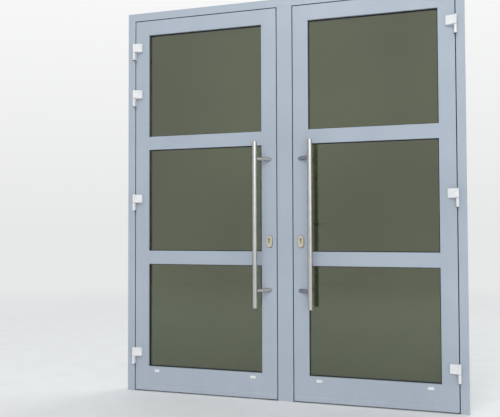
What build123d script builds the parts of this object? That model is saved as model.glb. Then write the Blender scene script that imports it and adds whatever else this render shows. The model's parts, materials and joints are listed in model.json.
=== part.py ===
from build123d import *

import os
from math import hypot

os.makedirs("parts", exist_ok=True)

# Glazed aluminium double entrance door: two leaves that open outwards, each hung on the jamb
# beside it and closing on a fixed mullion. Millimetres, X to the right seen from outside,
# Y into the building from the outer face, Z up from the floor, X = 0 in the mullion's middle.

# Leaves and the gaps round them
leaf_width = 948.0
leaf_height = 2397.0
leaf_floor_gap = 8.0
joint_gap = 5.0
leaf_face = 94.0
mid_rail_face = 85.0
bottom_rail_face = 152.0
lower_pane_height = 658.0
middle_pane_height = 655.0

# Profile system, in depth from the outer face
profile_depth = 65.0
lip_depth = 38.0
rebate_gap = 5.0
stop_reach = 17.0
profile_wall = 2.0
edge_round = 2.0
upstand = 22.0
upstand_depth = 16.0

# Frame
jamb_face = 50.0
head_face = 50.0
mullion_face = 95.0
threshold_height = 20.0
threshold_slope = 6.0
stop_seal_width = 8.0
stop_seal_inset = 2.0
seal_clearance = 0.3
anchor_hole_radius = 4.0
anchor_access_radius = 7.0
anchor_hole_depth = 20.0
anchor_end_distance = 180.0
anchor_count = 4
head_anchor_spacing = 1000.0

# Double glazing, its gaskets, beads and blocks
sheet_thickness = 6.0
cavity = 12.0
glass_cover = 17.0
outer_gasket_thickness = 4.0
inner_gasket_thickness = 3.5
gasket_show = 4.0
gasket_cover = 13.0
spacer_width = 7.0
spacer_inset = 3.0
bead_wall = 1.6
bead_joint = 0.3
bead_chamfer = 3.0
block_length = 90.0
block_width = 20.0
block_from_side = 110.0

# Hinges: a wing with its knuckle on the leaf, over a barrel on the frame
hinge_axis_proud = 24.0
hinge_radius = 8.5
hinge_half_height = 52.0
hinge_split = 2.0
hinge_top_drop = 204.5
hinge_pair_spacing = 305.0
hinge_foot_height = 218.5
hinge_middle_height = 1205.5
wing_reach = 53.0
wing_proud = 17.0
wing_bevel = 2.0
wing_groove = 1.5
barrel_leaf_gap = 2.5
barrel_cap_radius = 7.5
barrel_cap_height = 3.0
pin_radius = 4.0
pin_reach = 40.0
pin_running_fit = 0.05
seat_fit = 0.02
bush_wall = 2.0
bush_flange_radius = 8.0
bush_flange = 1.7

# Pull handle, welded from a bar and two slanted posts
bar_radius = 15.0
bar_wall = 2.0
bar_end_cap = 4.0
bar_length = 1010.0
bar_foot_height = 555.0
bar_stand_off = 75.0
bar_sideways = 71.5
bar_edge_round = 2.0
post_radius = 11.0
post_spacing = 800.0

# Lock, in the front chamber of the lock stile
backset = 46.0
lock_depth = 19.0
cylinder_height = 970.0
lever_above_cylinder = 92.0
faceplate_width = 24.0
faceplate_length = 270.0
faceplate_thickness = 3.0
faceplate_below_cylinder = 73.0
cut_out_clearance = 0.3
case_depth = 62.0
case_thickness = 16.0
case_height = 180.0
case_below_cylinder = 38.0
case_wall = 1.5
bolt_thickness = 12.0
bolt_clearance = 0.4
latch_height = 28.0
latch_throw = 12.0
latch_body = 34.0
latch_tip = 3.0
latch_nose_land = 1.0
dead_bolt_height = 34.0
dead_bolt_body = 45.0
dead_bolt_above_cylinder = 42.0
dead_bolt_throw = 20.0
dead_bolt_chamfer = 1.5

# Profile cylinder with a key plug on each side
cylinder_top_radius = 8.5
cylinder_web = 10.0
cylinder_body_height = 33.0
cylinder_proud = 2.0
cylinder_clearance = 0.4
plug_radius = 6.5
plug_proud = 0.3
cam_width = 10.0
cam_ring_radius = 8.0
cam_reach = 15.5
cam_tooth = 7.0
cam_clearance = 0.4
keyway_width = 2.6
keyway_height = 9.0
keyway_depth = 22.0

# Roses and lever handle
rose_width = 37.0
rose_height = 72.0
rose_thickness = 9.0
rose_edge_round = 3.0
cylinder_above_rose_middle = 15.0
lever_rose_radius = 26.0
lever_radius = 9.5
lever_stand_off = 48.0
lever_length = 125.0
lever_bend = 18.0
lever_neck_fit = 0.4
lever_neck_gap = 1.0
spindle_width = 8.0
follower_radius = 8.5
follower_clearance = 0.5

# Strike plates in the mullion, with their screws
strike_length = 150.0
strike_below_dead_bolt = 35.0
strike_thickness = 2.5
strike_clearance = 1.5
strike_screw_inset = 12.0
strike_screw_radius = 2.1
strike_screw_head = 4.6
strike_screw_length = 18.0
strike_screw_angle = 90.0
screw_fit = 0.15

# Trim along the foot of a leaf
strip_height = 33.0
strip_proud = 3.0
strip_slope = 4.0
strip_end_inset = 4.0
drain_cap_length = 34.0
drain_cap_height = 17.0
drain_cap_proud = 4.5
drain_cap_round = 1.5
drain_cap_slot = 2.0
drain_cap_from_side = 60.0
drain_cap_below_pane = 26.5
drain_slot_length = 24.0
drain_slot_height = 5.0
foot_seal_width = 10.0
foot_seal_depth = 24.0
foot_seal_floor_gap = 2.0

# Places that follow from the sizes above
stop_front = lip_depth + rebate_gap
leaf_bottom = leaf_floor_gap
leaf_top = leaf_bottom + leaf_height
head_bottom = leaf_top + joint_gap
frame_top = head_bottom + head_face
lock_edge = mullion_face / 2 + joint_gap
hinge_edge = lock_edge + leaf_width
jamb_inside = hinge_edge + joint_gap
jamb_outside = jamb_inside + jamb_face
hinge_axis_x = hinge_edge + joint_gap / 2
glass_front = upstand_depth + outer_gasket_thickness
glass_back = glass_front + 2 * sheet_thickness + cavity
bead_front = glass_back + inner_gasket_thickness
body_inset = leaf_face - upstand
lower_rail_bottom = leaf_bottom + bottom_rail_face + lower_pane_height
upper_rail_bottom = lower_rail_bottom + mid_rail_face + middle_pane_height
spindle_x = lock_edge + backset
cylinder_z = leaf_bottom + cylinder_height
lever_z = cylinder_z + lever_above_cylinder
dead_bolt_z = cylinder_z + dead_bolt_above_cylinder
hinge_top_z = leaf_top - hinge_top_drop
hinge_bottom_z = leaf_bottom + hinge_foot_height
hinge_middle_z = leaf_bottom + hinge_middle_height

# Clear opening of each pane between the upstands, as low and high Z
pane_levels = [
    (leaf_bottom + bottom_rail_face, lower_rail_bottom),
    (lower_rail_bottom + mid_rail_face, upper_rail_bottom),
    (upper_rail_bottom + mid_rail_face, leaf_top - leaf_face),
]
pane_left = lock_edge + leaf_face
pane_right = hinge_edge - leaf_face
pane_middle = (pane_left + pane_right) / 2
pane_width = pane_right - pane_left

# The left leaf carries one more hinge than the right leaf, below the top one
hinge_levels = {
    -1: [hinge_bottom_z, hinge_middle_z, hinge_top_z - hinge_pair_spacing, hinge_top_z],
    1: [hinge_bottom_z, hinge_middle_z, hinge_top_z],
}
side_names = {-1: "left", 1: "right"}


def save(piece, name):
    """Labels a finished piece and writes it."""
    piece.part.label = name
    export_step(piece.part, f"parts/{name}.step")


def front_plane(y):
    """Upright plane at a depth, drawn on as seen from outside; extrusion comes forward."""
    return Plane(origin=(0, y, 0), x_dir=(1, 0, 0), z_dir=(0, -1, 0))


def block(low, high, mode=Mode.ADD):
    """Box between two corners."""
    sizes = [b - a for a, b in zip(low, high)]
    middle = [(a + b) / 2 for a, b in zip(low, high)]
    with Locations(tuple(middle)):
        Box(*[abs(size) for size in sizes], mode=mode)


def standing(outline, edge, inward):
    """Plan of an upright profile: its outline is given across from the edge, and in depth."""
    return [(edge + inward * across, back) for across, back in outline]


def lying(outline, edge, inward):
    """Section of a level profile, as depth and height, from the same kind of outline."""
    return [(back, edge + inward * across) for across, back in outline]


def hollow_section(outline, chambers, place, edge, inward, rounded=()):
    """Draws an extruded profile's section with its chambers and rounded corners."""
    solid = Polygon(*place(outline, edge, inward), align=None)
    corners = place([outline[index] for index in rounded], edge, inward)
    if corners:
        nearest = [solid.vertices().sort_by_distance(corner)[0] for corner in corners]
        fillet(nearest, radius=edge_round)
    for chamber in chambers:
        Polygon(*place(chamber, edge, inward), align=None, mode=Mode.SUBTRACT)


def leaf_outline(face):
    """Leaf profile: a lip in front at the outer edge, an upstand for the glass inside."""
    body = face - upstand
    return [
        (0, 0),
        (face, 0),
        (face, upstand_depth),
        (body, upstand_depth),
        (body, profile_depth),
        (stop_reach, profile_depth),
        (stop_reach, lip_depth),
        (0, lip_depth),
    ]


def leaf_chambers(face):
    wall = profile_wall
    body = face - upstand - wall
    front = [
        (wall, wall),
        (face - wall, wall),
        (face - wall, upstand_depth - wall),
        (body, upstand_depth - wall),
        (body, lip_depth - wall),
        (wall, lip_depth - wall),
    ]
    rear = [
        (stop_reach + wall, lip_depth + wall),
        (body, lip_depth + wall),
        (body, profile_depth - wall),
        (stop_reach + wall, profile_depth - wall),
    ]
    return [front, rear]


def mid_rail_outline():
    """Glazing bar with an upstand above and below."""
    face = mid_rail_face
    return [
        (0, 0),
        (face, 0),
        (face, upstand_depth),
        (face - upstand, upstand_depth),
        (face - upstand, profile_depth),
        (upstand, profile_depth),
        (upstand, upstand_depth),
        (0, upstand_depth),
    ]


def mid_rail_chambers():
    wall = profile_wall
    low, high = upstand + wall, mid_rail_face - upstand - wall
    front = [
        (wall, wall),
        (mid_rail_face - wall, wall),
        (mid_rail_face - wall, upstand_depth - wall),
        (high, upstand_depth - wall),
        (high, lip_depth - wall),
        (low, lip_depth - wall),
        (low, upstand_depth - wall),
        (wall, upstand_depth - wall),
    ]
    rear = [
        (low, lip_depth + wall),
        (high, lip_depth + wall),
        (high, profile_depth - wall),
        (low, profile_depth - wall),
    ]
    return [front, rear]


def frame_outline(face):
    """Frame profile, from the wall to the opening, with the stop the leaf closes on."""
    return [
        (0, 0),
        (face, 0),
        (face, stop_front),
        (face + stop_reach, stop_front),
        (face + stop_reach, profile_depth),
        (0, profile_depth),
    ]


def frame_chambers(face):
    wall = profile_wall
    front = [
        (wall, wall),
        (face - wall, wall),
        (face - wall, lip_depth - wall),
        (wall, lip_depth - wall),
    ]
    rear = [
        (wall, lip_depth + wall),
        (face - wall, lip_depth + wall),
        (face - wall, stop_front + wall),
        (face + stop_reach - wall, stop_front + wall),
        (face + stop_reach - wall, profile_depth - wall),
        (wall, profile_depth - wall),
    ]
    return [front, rear]


def cylinder_section(x, clearance=0.0):
    """Draws the profile cylinder's outline, round above and narrow below."""
    drop = cylinder_body_height - cylinder_top_radius - cylinder_web / 2
    with Locations((x, cylinder_z)):
        Circle(cylinder_top_radius + clearance)
    with Locations((x, cylinder_z - drop / 2)):
        Rectangle(cylinder_web + 2 * clearance, drop)
    with Locations((x, cylinder_z - drop)):
        Circle(cylinder_web / 2 + clearance)


def bolt_windows(clearance, mode=Mode.ADD):
    """Draws the windows that the latch and the dead bolt pass through."""
    for z, height in ((lever_z, latch_height), (dead_bolt_z, dead_bolt_height)):
        with Locations((lock_depth, z)):
            Rectangle(bolt_thickness + 2 * clearance, height + 2 * clearance, mode=mode)


def anchor_levels():
    """Heights of the wall anchors, evenly spaced up a jamb."""
    low, high = anchor_end_distance, frame_top - anchor_end_distance
    spacing = (high - low) / (anchor_count - 1)
    return [low + step * spacing for step in range(anchor_count)]


def jamb(side):
    """Upright of the frame, mitred to the head and drilled for the wall anchors."""
    with BuildPart() as piece:
        with BuildSketch(Plane.XY):
            hollow_section(
                frame_outline(jamb_face),
                frame_chambers(jamb_face),
                standing,
                side * jamb_outside,
                -side,
                rounded=(0, 1),
            )
        extrude(amount=frame_top)
        corner = Plane(origin=(side * jamb_outside, 0, frame_top), z_dir=(side, 0, -1))
        split(bisect_by=corner, keep=Keep.TOP)
        holes = [(anchor_hole_depth, z) for z in anchor_levels()]
        with BuildSketch(Plane.YZ.offset(side * jamb_outside)):
            with Locations(*holes):
                Circle(anchor_hole_radius)
        extrude(amount=-side * 2 * profile_wall, mode=Mode.SUBTRACT)
        with BuildSketch(Plane.YZ.offset(side * jamb_inside)):
            with Locations(*holes):
                Circle(anchor_access_radius)
        extrude(amount=side * 2 * profile_wall, mode=Mode.SUBTRACT)
    save(piece, f"{side_names[side]}_jamb")


def head():
    """Top of the frame, mitred at both ends, with two anchor holes."""
    with BuildPart() as piece:
        with BuildSketch(Plane.YZ.offset(-jamb_outside)):
            hollow_section(
                frame_outline(head_face),
                frame_chambers(head_face),
                lying,
                frame_top,
                -1,
                rounded=(0, 1),
            )
        extrude(amount=2 * jamb_outside)
        for side in side_names:
            corner = Plane(origin=(side * jamb_outside, 0, frame_top), z_dir=(-side, 0, 1))
            split(bisect_by=corner, keep=Keep.TOP)
        holes = [(s * head_anchor_spacing / 2, anchor_hole_depth) for s in side_names]
        with BuildSketch(Plane.XY.offset(frame_top)):
            with Locations(*holes):
                Circle(anchor_hole_radius)
        extrude(amount=-2 * profile_wall, mode=Mode.SUBTRACT)
        with BuildSketch(Plane.XY.offset(head_bottom)):
            with Locations(*holes):
                Circle(anchor_access_radius)
        extrude(amount=2 * profile_wall, mode=Mode.SUBTRACT)
    save(piece, "head")


def mullion():
    """Fixed post between the leaves, with a stop and a strike cut-out on each side."""
    wall = profile_wall
    half = mullion_face / 2
    outline = [
        (-half, 0),
        (half, 0),
        (half, stop_front),
        (half + stop_reach, stop_front),
        (half + stop_reach, profile_depth),
        (-half - stop_reach, profile_depth),
        (-half - stop_reach, stop_front),
        (-half, stop_front),
    ]
    front = [
        (wall - half, wall),
        (half - wall, wall),
        (half - wall, lip_depth - wall),
        (wall - half, lip_depth - wall),
    ]
    rear = [
        (wall - half, lip_depth + wall),
        (half - wall, lip_depth + wall),
        (half - wall, stop_front + wall),
        (half + stop_reach - wall, stop_front + wall),
        (half + stop_reach - wall, profile_depth - wall),
        (wall - half - stop_reach, profile_depth - wall),
        (wall - half - stop_reach, stop_front + wall),
        (wall - half, stop_front + wall),
    ]
    with BuildPart() as piece:
        with BuildSketch(Plane.XY):
            hollow_section(outline, [front, rear], standing, 0, 1, rounded=(0, 1))
        extrude(amount=head_bottom)
        block(
            (-half - stop_reach, stop_front, head_bottom - stop_reach),
            (half + stop_reach, profile_depth, head_bottom),
            mode=Mode.SUBTRACT,
        )
        for side in side_names:
            with BuildSketch(Plane.YZ.offset(side * half)):
                bolt_windows(strike_clearance)
                with Locations(*[(lock_depth, z) for z in strike_screw_places()]):
                    Circle(strike_screw_radius + seat_fit)
            extrude(amount=-side * 2 * wall, mode=Mode.SUBTRACT)
    save(piece, "mullion")


def thresholds():
    """Low bars between the frame's stops, which the foot of each leaf closes on."""
    outline = [
        (stop_front, 0),
        (profile_depth, 0),
        (profile_depth, threshold_height - threshold_slope),
        (profile_depth - threshold_slope, threshold_height),
        (stop_front, threshold_height),
    ]
    wall = profile_wall
    inner = [
        (stop_front + wall, 0),
        (profile_depth - wall, 0),
        (profile_depth - wall, threshold_height - threshold_slope - wall / 2),
        (profile_depth - threshold_slope - wall / 2, threshold_height - wall),
        (stop_front + wall, threshold_height - wall),
    ]
    start = mullion_face / 2 + stop_reach
    length = jamb_inside - stop_reach - start
    with BuildPart() as piece:
        for side in side_names:
            with BuildSketch(Plane.YZ.offset(side * start)):
                Polygon(*outline, align=None)
                Polygon(*inner, align=None, mode=Mode.SUBTRACT)
            extrude(amount=side * length)
    save(piece, "thresholds")


def stop_seals():
    """Rubber ring on the stops round each opening."""
    left = lock_edge + stop_seal_inset
    right = hinge_edge - stop_seal_inset
    bottom = leaf_bottom + stop_seal_inset
    top = leaf_top - stop_seal_inset
    width, height = right - left, top - bottom
    thickness = rebate_gap - seal_clearance
    with BuildPart() as piece:
        with BuildSketch(front_plane(stop_front)):
            for side in side_names:
                with Locations((side * (left + right) / 2, (bottom + top) / 2)):
                    Rectangle(width, height)
                    Rectangle(
                        width - 2 * stop_seal_width,
                        height - 2 * stop_seal_width,
                        mode=Mode.SUBTRACT,
                    )
        extrude(amount=thickness)
    save(piece, "stop_seals")


def hinge_barrels():
    """Lower half of every hinge: flat-sided barrel with its foot on the jamb and a pin bore."""
    height = hinge_half_height - hinge_split / 2
    foot_inside = jamb_inside + edge_round
    foot_outside = hinge_axis_x + hinge_radius
    neck = hinge_axis_proud - barrel_leaf_gap
    with BuildPart() as piece:
        for side, levels in hinge_levels.items():
            x = side * hinge_axis_x
            for z in levels:
                foot = z - hinge_half_height
                with BuildSketch(Plane.XY.offset(foot + barrel_cap_height)):
                    with Locations((x, -hinge_axis_proud)):
                        Circle(hinge_radius)
                    with Locations((x, -barrel_leaf_gap - neck / 2)):
                        Rectangle(2 * hinge_radius, neck)
                    with Locations((side * (foot_inside + foot_outside) / 2, -hinge_axis_proud / 2)):
                        Rectangle(foot_outside - foot_inside, hinge_axis_proud)
                extrude(amount=height - barrel_cap_height)
                with BuildSketch(Plane.XY.offset(foot)):
                    with Locations((x, -hinge_axis_proud)):
                        Circle(barrel_cap_radius)
                extrude(amount=barrel_cap_height)
                with BuildSketch(Plane.XY.offset(z - hinge_split / 2)):
                    with Locations((x, -hinge_axis_proud)):
                        Circle(pin_radius + seat_fit)
                extrude(amount=-pin_reach, mode=Mode.SUBTRACT)
    save(piece, "hinge_barrels")


def hinge_pins():
    """Steel pins, seated in the barrels and standing up into the knuckles."""
    with BuildPart() as piece:
        for side, levels in hinge_levels.items():
            for z in levels:
                with BuildSketch(Plane.XY.offset(z - hinge_split / 2 - pin_reach)):
                    with Locations((side * hinge_axis_x, -hinge_axis_proud)):
                        Circle(pin_radius)
                extrude(amount=2 * pin_reach)
    save(piece, "hinge_pins")


def wing_groove_floor():
    """Depth of the groove's floor, set into the slanted front beside the knuckle."""
    front = hinge_axis_proud + hinge_radius
    slope = (front - wing_proud) / (wing_reach - wing_bevel)
    return wing_groove - (front - slope * hinge_radius)


def hinge_wings(side):
    """Upper half of the hinges of a leaf: wedge-shaped wing on the stile, knuckle on the axis."""
    x = side * hinge_axis_x
    inner = side * (hinge_axis_x - wing_reach)
    front = hinge_axis_proud + hinge_radius
    bore_radius = pin_radius + pin_running_fit + bush_wall + seat_fit
    plate = [
        (x, -front),
        (inner + side * wing_bevel, -wing_proud),
        (inner, wing_bevel - wing_proud),
        (inner, 0),
        (side * (hinge_edge - edge_round), 0),
        (x, -hinge_axis_proud),
    ]
    groove_x = side * (hinge_axis_x - hinge_radius)
    with BuildPart() as piece:
        for z in hinge_levels[side]:
            foot = z + hinge_split / 2
            with BuildSketch(Plane.XY.offset(foot)):
                Polygon(*plate, align=None)
                with Locations((x, -hinge_axis_proud)):
                    Circle(hinge_radius)
            extrude(amount=hinge_half_height)
            block(
                (groove_x - side * wing_groove / 2, -front, foot),
                (groove_x + side * wing_groove / 2, wing_groove_floor(), foot + hinge_half_height),
                mode=Mode.SUBTRACT,
            )
            with BuildSketch(Plane.XY.offset(foot)):
                with Locations((x, -hinge_axis_proud)):
                    Circle(bore_radius)
            extrude(amount=pin_reach + hinge_split, mode=Mode.SUBTRACT)
    save(piece, f"{side_names[side]}_hinge_wings")


def hinge_bushes(side):
    """Flanged plastic bushes in the knuckles, turning on the pins."""
    outer = pin_radius + pin_running_fit + bush_wall
    with BuildPart() as piece:
        for z in hinge_levels[side]:
            foot = z + hinge_split / 2
            with BuildSketch(Plane.XY.offset(foot)):
                with Locations((side * hinge_axis_x, -hinge_axis_proud)):
                    Circle(outer)
            extrude(amount=pin_reach)
            with BuildSketch(Plane.XY.offset(foot - bush_flange)):
                with Locations((side * hinge_axis_x, -hinge_axis_proud)):
                    Circle(bush_flange_radius)
            extrude(amount=bush_flange)
            with BuildSketch(Plane.XY.offset(foot - bush_flange)):
                with Locations((side * hinge_axis_x, -hinge_axis_proud)):
                    Circle(pin_radius + pin_running_fit)
            extrude(amount=pin_reach + bush_flange, mode=Mode.SUBTRACT)
    save(piece, f"{side_names[side]}_hinge_bushes")


def stile_section(edge, inward):
    """Upright leaf profile, mitred at the top and notched at the foot over the threshold."""
    with BuildSketch(Plane.XY.offset(leaf_bottom)) as section:
        hollow_section(
            leaf_outline(leaf_face),
            leaf_chambers(leaf_face),
            standing,
            edge,
            inward,
            rounded=(0,),
        )
    extrude(section.sketch, amount=leaf_height)
    corner = Plane(origin=(edge, 0, leaf_top), z_dir=(-inward, 0, -1))
    split(bisect_by=corner, keep=Keep.TOP)
    block(
        (edge, lip_depth, leaf_bottom),
        (edge + inward * leaf_face, profile_depth, leaf_bottom + stop_reach),
        mode=Mode.SUBTRACT,
    )


def hinge_stile(side):
    with BuildPart() as piece:
        stile_section(side * hinge_edge, -side)
    save(piece, f"{side_names[side]}_hinge_stile")


def lock_stile(side):
    """Stile on the mullion side, cut for the faceplate, the cylinder and the spindle."""
    plate_bottom, plate_top = faceplate_levels()
    slot = faceplate_width / 2 + cut_out_clearance
    with BuildPart() as piece:
        stile_section(side * lock_edge, side)
        block(
            (side * lock_edge, lock_depth - slot, plate_bottom - cut_out_clearance),
            (side * (lock_edge + 2 * profile_wall), lock_depth + slot, plate_top + cut_out_clearance),
            mode=Mode.SUBTRACT,
        )
        with BuildSketch(front_plane(profile_depth)):
            cylinder_section(side * spindle_x, cylinder_clearance)
        extrude(amount=profile_depth, mode=Mode.SUBTRACT)
        with BuildSketch(front_plane(profile_depth)):
            with Locations((side * spindle_x, lever_z)):
                Circle(follower_radius + follower_clearance)
        extrude(amount=profile_depth - lip_depth + 2 * profile_wall, mode=Mode.SUBTRACT)
    save(piece, f"{side_names[side]}_lock_stile")


def top_rail(side):
    """Level leaf profile, mitred to both stiles."""
    with BuildPart() as piece:
        with BuildSketch(Plane.YZ.offset(side * lock_edge)):
            hollow_section(
                leaf_outline(leaf_face),
                leaf_chambers(leaf_face),
                lying,
                leaf_top,
                -1,
                rounded=(0,),
            )
        extrude(amount=side * leaf_width)
        for edge, outward in ((lock_edge, -side), (hinge_edge, side)):
            corner = Plane(origin=(side * edge, 0, leaf_top), z_dir=(-outward, 0, 1))
            split(bisect_by=corner, keep=Keep.TOP)
    save(piece, f"{side_names[side]}_top_rail")


def end_mill(side, low, high):
    """Cuts a rail's face back at both ends, where the stiles' upstands pass in front."""
    start = lock_edge + body_inset
    end = hinge_edge - body_inset
    for near, far in ((start, start + upstand), (end - upstand, end)):
        block((side * near, 0, low), (side * far, upstand_depth, high), mode=Mode.SUBTRACT)


def mid_rails(side):
    start = lock_edge + body_inset
    length = leaf_width - 2 * body_inset
    with BuildPart() as piece:
        for bottom in (lower_rail_bottom, upper_rail_bottom):
            with BuildSketch(Plane.YZ.offset(side * start)):
                hollow_section(mid_rail_outline(), mid_rail_chambers(), lying, bottom, 1)
            extrude(amount=side * length)
            end_mill(side, bottom, bottom + mid_rail_face)
    save(piece, f"{side_names[side]}_mid_rails")


def bottom_rail(side):
    start = lock_edge + body_inset
    length = leaf_width - 2 * body_inset
    with BuildPart() as piece:
        with BuildSketch(Plane.YZ.offset(side * start)):
            hollow_section(
                leaf_outline(bottom_rail_face),
                leaf_chambers(bottom_rail_face),
                lying,
                leaf_bottom,
                1,
            )
        extrude(amount=side * length)
        end_mill(side, leaf_bottom, leaf_bottom + bottom_rail_face)
        with BuildSketch(front_plane(profile_wall)):
            with Locations(*drain_places(side)):
                Rectangle(drain_slot_length, drain_slot_height)
        extrude(amount=profile_wall, mode=Mode.SUBTRACT)
    save(piece, f"{side_names[side]}_bottom_rail")


def pane_sheet(side, levels, spread):
    """Rectangle over one pane's opening, larger by the spread on every side."""
    low, high = levels
    with Locations((side * pane_middle, (low + high) / 2)):
        Rectangle(pane_width + 2 * spread, high - low + 2 * spread)


def pane_ring(side, levels, outer, inner):
    """Rectangular ring round one pane's opening."""
    low, high = levels
    with Locations((side * pane_middle, (low + high) / 2)):
        Rectangle(pane_width + 2 * outer, high - low + 2 * outer)
        Rectangle(pane_width + 2 * inner, high - low + 2 * inner, mode=Mode.SUBTRACT)


def glass(side):
    """Outer and inner sheets of the three double-glazing units."""
    with BuildPart() as piece:
        for back in (glass_front + sheet_thickness, glass_back):
            for levels in pane_levels:
                with BuildSketch(front_plane(back)):
                    pane_sheet(side, levels, glass_cover)
                extrude(amount=sheet_thickness)
    save(piece, f"{side_names[side]}_glass")


def glass_spacers(side):
    """Spacer bars between the sheets, hidden behind the upstands."""
    outer = glass_cover - spacer_inset
    with BuildPart() as piece:
        for levels in pane_levels:
            with BuildSketch(front_plane(glass_back - sheet_thickness)):
                pane_ring(side, levels, outer, outer - spacer_width)
            extrude(amount=cavity)
    save(piece, f"{side_names[side]}_glass_spacers")


def glazing_gaskets(side):
    """Rubber gaskets on both faces of each unit, showing a lip past the upstand."""
    with BuildPart() as piece:
        for levels in pane_levels:
            with BuildSketch(front_plane(glass_front)):
                pane_ring(side, levels, gasket_cover, -gasket_show)
            extrude(amount=outer_gasket_thickness)
            with BuildSketch(front_plane(bead_front)):
                pane_ring(side, levels, gasket_cover, -gasket_show)
            extrude(amount=inner_gasket_thickness)
    save(piece, f"{side_names[side]}_glazing_gaskets")


def bead_outline():
    """Hollow glazing bead, from the profile's body to the edge of the view."""
    return [
        (0, bead_front),
        (upstand, bead_front),
        (upstand, profile_depth - bead_chamfer),
        (upstand - bead_chamfer, profile_depth),
        (0, profile_depth),
    ]


def bead_chamber():
    wall = bead_wall
    return [
        (wall, bead_front + wall),
        (upstand - wall, bead_front + wall),
        (upstand - wall, profile_depth - bead_chamfer - wall / 2),
        (upstand - bead_chamfer - wall / 2, profile_depth - wall),
        (wall, profile_depth - wall),
    ]


def glazing_beads(side):
    """Four bars round each unit on the inside: level ones through, upright ones between."""
    left, right = pane_left - upstand, pane_right + upstand
    with BuildPart() as piece:
        for low, high in pane_levels:
            for edge, inward in ((low - upstand, 1), (high + upstand, -1)):
                with BuildSketch(Plane.YZ.offset(side * left)):
                    hollow_section(bead_outline(), [bead_chamber()], lying, edge, inward)
                extrude(amount=side * (right - left))
            for edge, inward in ((left, 1), (right, -1)):
                with BuildSketch(Plane.XY.offset(low + bead_joint)):
                    hollow_section(
                        bead_outline(),
                        [bead_chamber()],
                        standing,
                        side * edge,
                        side * inward,
                    )
                extrude(amount=high - low - 2 * bead_joint)
    save(piece, f"{side_names[side]}_glazing_beads")


def setting_blocks(side):
    """Plastic blocks that carry each unit on the rail below it."""
    height = upstand - glass_cover
    middle = (glass_front + glass_back) / 2
    with BuildPart() as piece:
        for low, high in pane_levels:
            with BuildSketch(Plane.XY.offset(low - upstand)):
                for x in (pane_left + block_from_side, pane_right - block_from_side):
                    with Locations((side * x, middle)):
                        Rectangle(block_length, block_width)
            extrude(amount=height)
    save(piece, f"{side_names[side]}_setting_blocks")


def drain_places(side):
    """Middles of the two drain slots of a leaf, seen from outside."""
    z = leaf_bottom + bottom_rail_face - drain_cap_below_pane
    sides = (pane_left + drain_cap_from_side, pane_right - drain_cap_from_side)
    return [(side * x, z) for x in sides]


def drain_caps(side):
    """Moulded hoods over the drain slots, open along the foot."""
    with BuildPart() as piece:
        with BuildSketch(front_plane(0)):
            with Locations(*drain_places(side)):
                Rectangle(drain_cap_length, drain_cap_height)
        extrude(amount=drain_cap_proud)
        fillet(piece.faces().group_by(Axis.Y)[0].edges(), radius=drain_cap_round)
        with BuildSketch(front_plane(0)):
            for x, z in drain_places(side):
                with Locations((x, z - drain_cap_slot)):
                    Rectangle(drain_cap_length - 2 * drain_cap_slot, drain_cap_height)
        extrude(amount=drain_cap_proud - drain_cap_slot, mode=Mode.SUBTRACT)
    save(piece, f"{side_names[side]}_drain_caps")


def bottom_strip(side):
    """Drip strip along the foot of the leaf, with a sloped top edge."""
    outline = [
        (0, leaf_bottom),
        (-strip_proud, leaf_bottom),
        (-strip_proud, leaf_bottom + strip_height - strip_slope),
        (0, leaf_bottom + strip_height),
    ]
    with BuildPart() as piece:
        with BuildSketch(Plane.YZ.offset(side * (lock_edge + strip_end_inset))):
            Polygon(*outline, align=None)
        extrude(amount=side * (leaf_width - 2 * strip_end_inset))
    save(piece, f"{side_names[side]}_bottom_strip")


def foot_seal(side):
    """Brush strip under the leaf, just off the floor."""
    height = leaf_floor_gap - foot_seal_floor_gap
    with BuildPart() as piece:
        with BuildSketch(Plane.YZ.offset(side * (lock_edge + strip_end_inset))):
            with Locations((foot_seal_depth, leaf_bottom - height / 2)):
                Rectangle(foot_seal_width, height)
        extrude(amount=side * (leaf_width - 2 * strip_end_inset))
    save(piece, f"{side_names[side]}_foot_seal")


def pull_handle(side):
    """Long bar held clear of the leaf by two posts that slant back to the stile."""
    bar_x = spindle_x + bar_sideways
    bar_bottom = leaf_bottom + bar_foot_height
    post_middle = bar_bottom + bar_length / 2
    post_length = hypot(bar_sideways, bar_stand_off)
    with BuildPart() as piece:
        with BuildSketch(Plane.XY.offset(bar_bottom)):
            with Locations((side * bar_x, -bar_stand_off)):
                Circle(bar_radius)
        extrude(amount=bar_length)
        fillet(piece.edges().filter_by(GeomType.CIRCLE), radius=bar_edge_round)
        for step in (-1, 1):
            z = post_middle + step * post_spacing / 2
            slant = Plane(
                origin=(side * bar_x, -bar_stand_off, z),
                x_dir=(0, 0, 1),
                z_dir=(-side * bar_sideways, bar_stand_off, 0),
            )
            with BuildSketch(slant):
                Circle(post_radius)
            extrude(amount=post_length + 2 * post_radius)
        split(bisect_by=Plane(origin=(0, 0, 0), z_dir=(0, -1, 0)), keep=Keep.TOP)
        with BuildSketch(Plane.XY.offset(bar_bottom + bar_end_cap)):
            with Locations((side * bar_x, -bar_stand_off)):
                Circle(bar_radius - bar_wall)
        extrude(amount=bar_length - 2 * bar_end_cap, mode=Mode.SUBTRACT)
    save(piece, f"{side_names[side]}_pull_handle")


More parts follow.
